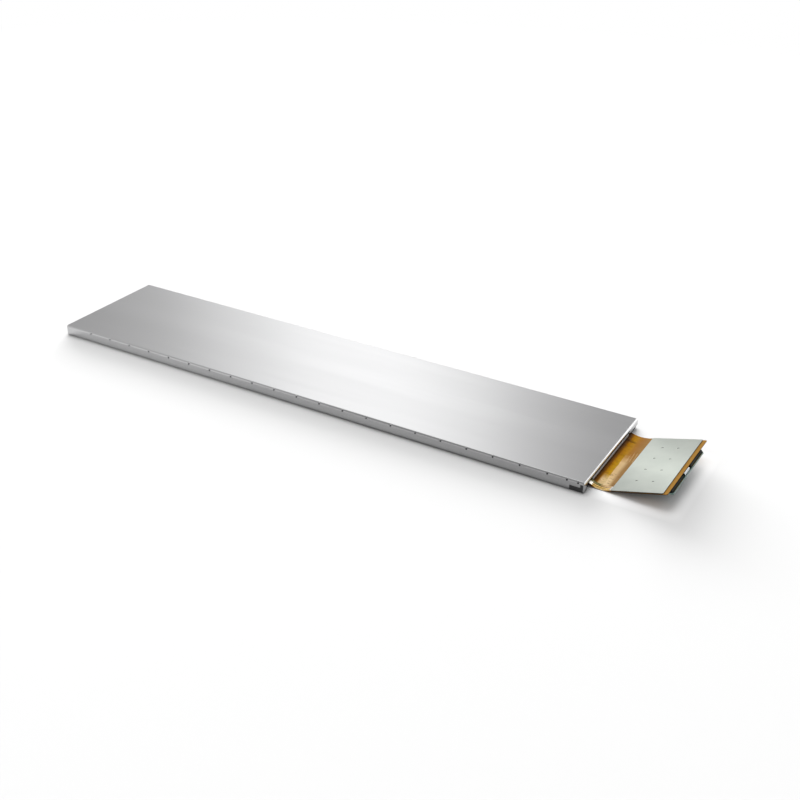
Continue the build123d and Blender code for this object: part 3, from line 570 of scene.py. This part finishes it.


# Painted reflection and shade on the tray's folded walls: tones that stand in for what the walls mirror,
# changing along the module
trayWallPaintedLight = {
    # painted shade: the end tabs darken towards the floor
    "end": (0.32, 1.0), "endSpan": (0.6, 2.4),
    # painted reflection: the low flange is darkened for the dark gap under it, and the lip over it brightened
    # for the white surroundings
    "flange": 0.04, "flangeFrom": 3.2, "flangeUntil": 17.4,
    "lip": 1.85, "lipSpan": (3.25, 3.50), "lipFacing": (0.58, 0.82),
    # painted reflection and shade: the near wall darkens towards the flex end, most of all at its foot
    "near": ((-118, 1.06), (-50, 1.05), (-20, 0.94), (40, 0.88), (95, 0.77), (118, 0.74)),
    "nearStart": -120.0, "nearLength": 240.0,
    "foot": 0.60, "footAlong": (-60.0, 40.0), "footSpan": (0.3, 1.1),
    # painted reflection: the two long folds are darker towards the flex end
    "nearBend": 0.56, "nearBendAlong": (-30.0, 30.0), "nearBendFacing": ((0, -0.78, 0.62), 0.90, 0.97),
    "farBend": 0.55, "farBendAlong": (-90.0, -50.0), "farBendFacing": ((0, 0.6, 0.8), 0.92, 0.97),
}


def paintTrayWallLight(tree, tones):
    x, y, z = splitAxes(tree, placeInMm(tree))
    # painted reflection and shade, chosen by place and facing and multiplied into the tray's colour
    endFace = facing(tree, (1, 0, 0))
    endPaintedLight = mixColours(tree, endFace, (1, 1, 1), fadeOver(tree, z, *tones["endSpan"], *tones["end"]))
    upper = fadeOver(tree, z, *tones["lipSpan"])
    below = multiply(tree, mathNode(tree, "SUBTRACT", 1.0, upper),
                     mathNode(tree, "GREATER_THAN", z, tones["flangeFrom"]),
                     mathNode(tree, "LESS_THAN", y, tones["flangeUntil"]))
    endPaintedLight = mixColours(tree, multiply(tree, below, endFace), endPaintedLight, (tones["flange"],) * 3)
    lip = multiply(tree, upper, facing(tree, (1, 0, 0), *tones["lipFacing"]))
    endPaintedLight = mixColours(tree, lip, endPaintedLight, (tones["lip"],) * 3)
    start, length = tones["nearStart"], tones["nearLength"]
    run = mathNode(tree, "DIVIDE", mathNode(tree, "SUBTRACT", x, start), length)
    along = rampNode(tree, run, [((place - start) / length, tone) for place, tone in tones["near"]])
    footPaintedShade = fadeOver(tree, x, *tones["footAlong"], 1.0, tones["foot"])
    nearTone = tinted(tree, along, fadeOver(tree, z, *tones["footSpan"], footPaintedShade, 1.0))
    walled = mixColours(tree, facing(tree, (0, -1, 0)), endPaintedLight, nearTone)
    for bend in ("nearBend", "farBend"):
        inBend = multiply(tree, facing(tree, *tones[bend + "Facing"]),
                          fadeOver(tree, x, *tones[bend + "Along"]))
        walled = mixColours(tree, inBend, walled, (tones[bend],) * 3)
    return walled


# The frame, with painted shade and light: its end face is darkened for the tray's shade, its near side
# painted paler away from the flex end and darker near it
framePaintedLight = {"end": (0.12, 0.12, 0.14), "endFrom": 116.6, "lit": 2.6, "litSpan": (10.0, -60.0),
              "dim": 0.15, "dimSpan": (0.0, 60.0)}


def paintFrameLight(tree, tones):
    x = splitAxes(tree, placeInMm(tree))[0]
    shaded = multiply(tree, facing(tree, (1, 0, 0)), mathNode(tree, "GREATER_THAN", x, tones["endFrom"]))
    tone = mixColours(tree, shaded, (1, 1, 1), tones["end"])
    for change in ("lit", "dim"):
        share = multiply(tree, facing(tree, (0, -1, 0)), fadeOver(tree, x, *tones[change + "Span"]))
        tone = mixColours(tree, share, tone, (tones[change],) * 3)
    return tone


multiplyInPaintedLight(made["traySatin"], paintTrayWallLight(made["traySatin"].node_tree, trayWallPaintedLight))
multiplyInPaintedLight(made["framePlastic"], paintFrameLight(made["framePlastic"].node_tree, framePaintedLight))

# Stiffener plate: glass cloth under pale resin, with a broad painted sheen askew over its middle, darker
# towards the ends
plateLook = {
    "face": (0.62, 0.665, 0.60), "shade": (0.585, 0.63, 0.57), "edge": (0.006, 0.005, 0.005),
    "weave": 0.55, "weaveShare": 0.03, "weaveHeight": 0.2, "cloudNoise": (0.12, 3.0), "rough": (0.42, 0.52),
    "sheenSlant": 0.65, "sheenPlace": 85.8, "sheenReach": 30.0,
    "paintedSheen": ((0.0, 1.02), (0.1, 1.0), (0.27, 0.90), (0.43, 0.81), (0.60, 0.70), (0.87, 0.60)),
    "bump": 0.12, "bumpDepth": 0.05, "bumpNoise": (2.2, 3.0),
}


def makePlateFinish(look):
    material, tree, shader = newMaterial("plateLaminate")
    vector = placeInMm(tree, turn=slope)
    # two crossed sets of soft ridges
    step = 2 * math.pi / look["weave"]
    ridges = [mathNode(tree, "SINE", multiply(tree, place, step)) for place in splitAxes(tree, vector)[:2]]
    weave = multiply(tree, *ridges)
    cloud = rampNode(tree, noiseNode(tree, vector, *look["cloudNoise"]), softSpan, "EASE")
    face = mixColours(tree, cloud, look["face"], look["shade"])
    x, y = splitAxes(tree, placeInMm(tree))[:2]
    # painted sheen: lighter along a slanted band, darker away from it
    askew = mathNode(tree, "MULTIPLY_ADD", x, look["sheenSlant"], y)
    away = mathNode(tree, "ABSOLUTE", mathNode(tree, "SUBTRACT", askew, look["sheenPlace"]))
    paintedSheen = rampNode(tree, mathNode(tree, "DIVIDE", away, look["sheenReach"]), look["paintedSheen"])
    face = tinted(tree, face, paintedSheen)
    threadShare = mathNode(tree, "MULTIPLY_ADD", weave, look["weaveShare"], look["weaveShare"])
    threads = mixColours(tree, threadShare, face, look["shade"])
    # painted shade: the plate's side faces are near black
    top = facing(tree, slopeUp, eitherSide=True)
    linkTo(tree, mixColours(tree, top, look["edge"], threads), shader.inputs["Base Color"])
    linkTo(tree, fadeOver(tree, cloud, 0.0, 1.0, *look["rough"]), shader.inputs["Roughness"])
    height = mathNode(tree, "MULTIPLY_ADD", weave, look["weaveHeight"],
                      noiseNode(tree, vector, *look["bumpNoise"]))
    addBump(tree, shader, height, look["bump"], look["bumpDepth"])
    return material


# Interface board: dark green mask over copper tracks, cut edges of bare laminate
boardLook = {
    "mask": (0.006, 0.030, 0.022), "track": (0.012, 0.060, 0.042), "edge": (0.17, 0.27, 0.24),
    "trackPitch": 0.6, "trackSpan": ((0.52, 0.0), (0.6, 1.0)), "fibreShade": 0.6, "fibreNoise": (3.0, 3.0),
    "routeSize": (0.35, 0.5, 0.0), "routeNoise": (1.0, 1.0), "routeSpan": ((0.5, 0.0), (0.53, 1.0)),
    "rough": (0.2, 0.4), "wearNoise": (1.5, 3.0), "bump": 0.4, "bumpDepth": 0.03,
}


def makeBoardFinish(look):
    material, tree, shader = newMaterial("boardLaminate")
    vector = placeInMm(tree, turn=slope)
    lanes = mathNode(tree, "DIVIDE", splitAxes(tree, vector)[1], look["trackPitch"])
    lanes = multiply(tree, mathNode(tree, "PINGPONG", lanes, 0.5), 2.0)
    slow = noiseNode(tree, stretched(tree, vector, look["routeSize"]), *look["routeNoise"])
    tracks = multiply(tree, rampNode(tree, lanes, look["trackSpan"]), rampNode(tree, slow, look["routeSpan"]))
    face = mixColours(tree, tracks, look["mask"], look["track"])
    darkFibre = tuple(look["fibreShade"] * part for part in look["edge"])
    fibre = mixColours(tree, noiseNode(tree, vector, *look["fibreNoise"]), look["edge"], darkFibre)
    top = facing(tree, slopeUp, eitherSide=True)
    linkTo(tree, mixColours(tree, top, fibre, face), shader.inputs["Base Color"])
    wear = noiseNode(tree, vector, *look["wearNoise"])
    linkTo(tree, fadeOver(tree, wear, 0.0, 1.0, *look["rough"]), shader.inputs["Roughness"])
    addBump(tree, shader, tracks, look["bump"], look["bumpDepth"])
    return material


# Cell glass: dark sheets with greenish edges, and fine conductor lines on the bonding ledge
glassLook = {
    "sheet": (0.030, 0.038, 0.040), "edge": (0.075, 0.110, 0.105), "lines": (0.34, 0.30, 0.22),
    "cloudNoise": (0.3, 2.0), "cloudGain": 1.25, "rough": (0.04, 0.08), "coat": 0.3,
    "ledgeStart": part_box("colour_filter_glass")[1].x / mm, "linePitch": 0.32,
    "lineSpan": ((0.4, 0.0), (0.5, 1.0)),
}


def makeGlassFinish(name, look, withLines):
    material, tree, shader = newMaterial(name)
    vector = placeInMm(tree)
    cloud = noiseNode(tree, vector, *look["cloudNoise"])
    sheet = mixColours(tree, cloud, look["sheet"], tuple(look["cloudGain"] * part for part in look["sheet"]))
    if withLines:
        x, y = splitAxes(tree, vector)[:2]
        lanes = mathNode(tree, "PINGPONG", mathNode(tree, "DIVIDE", y, look["linePitch"]), 0.5)
        lines = rampNode(tree, multiply(tree, lanes, 2.0), look["lineSpan"])
        onLedge = mathNode(tree, "GREATER_THAN", x, look["ledgeStart"])
        sheet = mixColours(tree, multiply(tree, lines, onLedge), sheet, look["lines"])
    top = facing(tree, (0, 0, 1), eitherSide=True)
    linkTo(tree, mixColours(tree, top, look["edge"], sheet), shader.inputs["Base Color"])
    linkTo(tree, fadeOver(tree, cloud, 0.0, 1.0, *look["rough"]), shader.inputs["Roughness"])
    shader.inputs["Coat Weight"].default_value = look["coat"]
    return material


made["flexFilm"] = makeFlexFinish(flexLook)
made["tailFilm"] = makeTailFinish(tailLook)
made["plateLaminate"] = makePlateFinish(plateLook)
made["boardLaminate"] = makeBoardFinish(boardLook)
made["arrayGlass"] = makeGlassFinish("arrayGlass", glassLook, True)
made["filterGlass"] = makeGlassFinish("filterGlass", glassLook, False)
print("finishes made:", len(made))

nodeFinishes = {
    "rear_tray": "traySatin", "mid_frame": "framePlastic", "tft_glass": "arrayGlass",
    "colour_filter_glass": "filterGlass", "front_polariser": "polariserFilm",
    "rear_polariser": "polariserFilm", "rim_light_tape": "blackTape", "upper_prism_film": "prismFilm",
    "lower_prism_film": "prismFilm", "diffuser_film": "diffuserFilm", "light_guide_plate": "guideAcrylic",
    "reflector_sheet": "reflectorFilm", "lamp_strip": "tailFilm", "lamps": "lampBody",
    "lamp_windows": "lampPhosphor", "driver_chip": "chipSilicon", "ledge_coating": "clearCoating",
    "main_flex": "flexFilm", "tail_solder": "solderFillet", "stiffener_adhesive": "plateAdhesive",
    "stiffener_plate": "plateLaminate", "insulating_tape": "blackTape", "interface_board": "boardLaminate",
    "board_socket_near": "connectorPlastic", "board_socket_far": "connectorPlastic",
    "flex_plug_near": "connectorPlastic", "flex_plug_far": "connectorPlastic",
    "socket_contacts_near": "goldContact", "socket_contacts_far": "goldContact", "ground_clip": "tinPlate",
    "flex_capacitors": "ceramicBody", "board_capacitors": "ceramicBody", "voltage_regulator": "packageBlack",
    "cable_socket": "connectorPlastic", "cable_contacts": "goldContact", "socket_anchors": "tinPlate",
}
for nodeName, finish in nodeFinishes.items():
    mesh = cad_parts[nodeName].data
    mesh.materials.clear()
    mesh.materials.append(made[finish])
print("finishes on", len(nodeFinishes), "nodes")


# Modelling helpers: every new piece is started from a primitive and shaped in edit mode
def editMode():
    bpy.ops.object.mode_set(mode="EDIT")
    bpy.ops.mesh.select_mode(type="VERT")


def objectMode():
    bpy.ops.object.mode_set(mode="OBJECT")


def pick(piece, test):
    # selects exactly the vertices whose place in millimetres passes the test
    editMode()
    bpy.ops.mesh.select_all(action="DESELECT")
    objectMode()
    for vertex in piece.data.vertices:
        vertex.select = test(*(part / mm for part in vertex.co))
    editMode()


def startRow(name, along, ends, level, cuts):
    # a row of edges across the strip, ready to be extruded along it: half of a plane 1 mm wide
    bpy.ops.mesh.primitive_plane_add(size=mm, location=(0, 0, 0))
    row = bpy.context.object
    row.name = name
    pick(row, lambda x, y, z: x > 0)
    bpy.ops.mesh.delete(type="VERT")
    bpy.ops.mesh.select_all(action="SELECT")
    bpy.ops.transform.resize(value=(1, ends[1] - ends[0], 1))
    bpy.ops.transform.translate(value=((along + 0.5) * mm, (ends[0] + ends[1]) / 2 * mm, level * mm))
    bpy.ops.mesh.subdivide(number_cuts=cuts)
    return row


def runStraight(start, end, steps):
    step = ((end[0] - start[0]) / steps * mm, 0, (end[1] - start[1]) / steps * mm)
    for _ in range(steps):
        bpy.ops.mesh.extrude_region_move(TRANSFORM_OT_translate={"value": step})


def runRoute(corners, radii, straightStep, bendStep):
    # extrudes the picked row along a line whose corners (x, z) are rounded
    place = corners[0]
    for before, corner, after, radius in zip(corners, corners[1:], corners[2:], radii):
        headIn = math.atan2(corner[1] - before[1], corner[0] - before[0])
        headOut = math.atan2(after[1] - corner[1], after[0] - corner[0])
        turn = headOut - headIn
        reach = radius * math.tan(abs(turn) / 2)
        bendStart = (corner[0] - reach * math.cos(headIn), corner[1] - reach * math.sin(headIn))
        run = math.dist(place, bendStart)
        if run > 0.01:  # else one bend starts where the last ends
            runStraight(place, bendStart, max(1, round(run / straightStep)))
        side = math.copysign(radius, turn)
        centreX = bendStart[0] - side * math.sin(headIn)
        centreZ = bendStart[1] + side * math.cos(headIn)
        bpy.ops.mesh.spin(steps=max(3, round(abs(turn) * radius / bendStep)), angle=turn,
                          center=(centreX * mm, 0, centreZ * mm), axis=(0, 1, 0))
        place = (corner[0] + reach * math.cos(headOut), corner[1] + reach * math.sin(headOut))
    runStraight(place, corners[-1], max(1, round(math.dist(place, corners[-1]) / straightStep)))


def addThickness(piece, thickness):
    modifier = piece.modifiers.new("thickness", "SOLIDIFY")
    modifier.thickness = thickness * mm
    modifier.offset = 0.0
    modifier.use_even_offset = True
    bpy.ops.object.modifier_apply(modifier=modifier.name)


def smoothShade(angle):
    bpy.ops.object.shade_smooth_by_angle(angle=math.radians(angle))


# The main circuit again, with the soft waves and creases of a film that has been bent by hand
flexSheet = {
    "thickness": 0.2, "middle": -0.425, "width": 41.85, "cuts": 83, "smoothAngle": 35,
    # the run from under the tray, over the crest and down into the dip, as (x, z)
    "corners": ((114.85, 0.60), (116.80, 0.60), (117.80, 0.95), (121.55, -0.45)), "radii": (2.0, 1.1, 10.6),
    "straightStep": 0.35, "bendStep": 0.3,
    # from the dip's corner the climb is flat after flatStart and ends at length
    "flatStart": 3.7, "length": 24.895,
    # the last part of the climb is turned askew, and its two corners are rounded
    "turn": 1.2, "turnedPart": 0.5, "endFrom": 144, "endMargin": 0.6, "endRound": 0.6, "endSegments": 4,
    "waveHeight": 0.12, "waveSize": 2.4, "waveDepth": 1, "waveSpan": (118.7, 125.0), "waveFrom": -17.4,
    # creases along the circuit: place, height and spread
    "creases": ((15.2, 0.085, 0.6), (13.9, 0.05, 0.5), (-10.9, 0.07, 0.6), (4.3, 0.04, 0.8)),
    "creaseSpan": (119.1, 124.4), "creaseHalf": 0.3,
}


def climb(start, reach):
    # a place on the slope, this far from the start
    return start[0] + reach * math.cos(slope), start[1] + reach * math.sin(slope)


def makeFlexSheet(setup):
    ends = (setup["middle"] - setup["width"] / 2, setup["middle"] + setup["width"] / 2)
    first, dip = setup["corners"][0], setup["corners"][-1]
    sheet = startRow("flexSheet", first[0], ends, first[1], setup["cuts"])
    route = (*setup["corners"], climb(dip, setup["flatStart"]))
    runRoute(route, setup["radii"], setup["straightStep"], setup["bendStep"])
    runStraight((0, 0), climb((0, 0), setup["length"] - setup["flatStart"]), 1)
    # the climb is laid level, its end turned there, and the whole tipped back
    centre = (dip[0] * mm, 0, dip[1] * mm)
    bpy.ops.mesh.select_all(action="SELECT")
    bpy.ops.transform.rotate(value=-slope, orient_axis="Y", center_override=centre)
    pick(sheet, lambda x, y, z: x > dip[0] + setup["length"] - setup["turnedPart"])
    bpy.ops.transform.rotate(value=math.radians(setup["turn"]), orient_axis="Z", center_override=centre)
    bpy.ops.mesh.select_all(action="SELECT")
    bpy.ops.transform.rotate(value=slope, orient_axis="Y", center_override=centre)
    pick(sheet, lambda x, y, z: x > setup["endFrom"] and not ends[0] <= y <= ends[1] - setup["endMargin"])
    bpy.ops.mesh.bevel(offset=setup["endRound"] * mm, segments=setup["endSegments"], affect="VERTICES")
    for place, height, spread in setup["creases"]:
        pick(sheet, lambda x, y, z: (abs(y - place) < setup["creaseHalf"]
                                     and setup["creaseSpan"][0] < x < setup["creaseSpan"][1]))
        bpy.ops.transform.translate(value=(0, 0, height * mm), use_proportional_edit=True,
                                    proportional_edit_falloff="SMOOTH", proportional_size=spread * mm)
    objectMode()
    # soft waves, on the bent part and away from the tail
    group = sheet.vertex_groups.new(name="waves")
    low, high = setup["waveSpan"]
    for vertex in sheet.data.vertices:
        x, y = vertex.co.x / mm, vertex.co.y / mm
        weight = min(1.0, max(0.0, min(x - low, high - x, y - setup["waveFrom"])))
        group.add([vertex.index], weight, "REPLACE")
    texture = bpy.data.textures.new("softWaves", "CLOUDS")
    texture.noise_scale = setup["waveSize"] * mm
    texture.noise_depth = setup["waveDepth"]
    waves = sheet.modifiers.new("waves", "DISPLACE")
    waves.texture = texture
    waves.texture_coords = "LOCAL"
    waves.vertex_group = "waves"
    waves.strength = setup["waveHeight"] * mm
    waves.mid_level = 0.0
    bpy.ops.object.modifier_apply(modifier=waves.name)
    addThickness(sheet, setup["thickness"])
    smoothShade(setup["smoothAngle"])
    return sheet


circuit = makeFlexSheet(flexSheet)
circuit.data.materials.append(made["flexFilm"])
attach(circuit, "root")
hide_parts("main_flex")
print("circuit modelled:", len(circuit.data.polygons), "faces")

# Edge seal: a grey strip stuck on the frame's end band under the tray's low flange
edgeSeal = {"low": (117.56, -17.9, 1.12), "high": (117.97, 17.3, 2.02), "edge": 0.12, "segments": 3,
            "smoothAngle": 35}


def makeEdgeSeal(setup):
    bpy.ops.mesh.primitive_cube_add(size=mm, location=(0, 0, 0))
    strip = bpy.context.object
    strip.name = "edgeSeal"
    low, high = setup["low"], setup["high"]
    editMode()
    bpy.ops.mesh.select_all(action="SELECT")
    bpy.ops.transform.resize(value=tuple(end - start for start, end in zip(low, high)))
    bpy.ops.transform.translate(value=tuple((start + end) / 2 * mm for start, end in zip(low, high)))
    bpy.ops.mesh.bevel(offset=setup["edge"] * mm, segments=setup["segments"], affect="EDGES")
    objectMode()
    smoothShade(setup["smoothAngle"])
    return strip


seal = makeEdgeSeal(edgeSeal)
seal.data.materials.append(made["sealFoil"])
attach(seal, "root")
print("edge seal modelled:", len(seal.data.polygons), "faces")
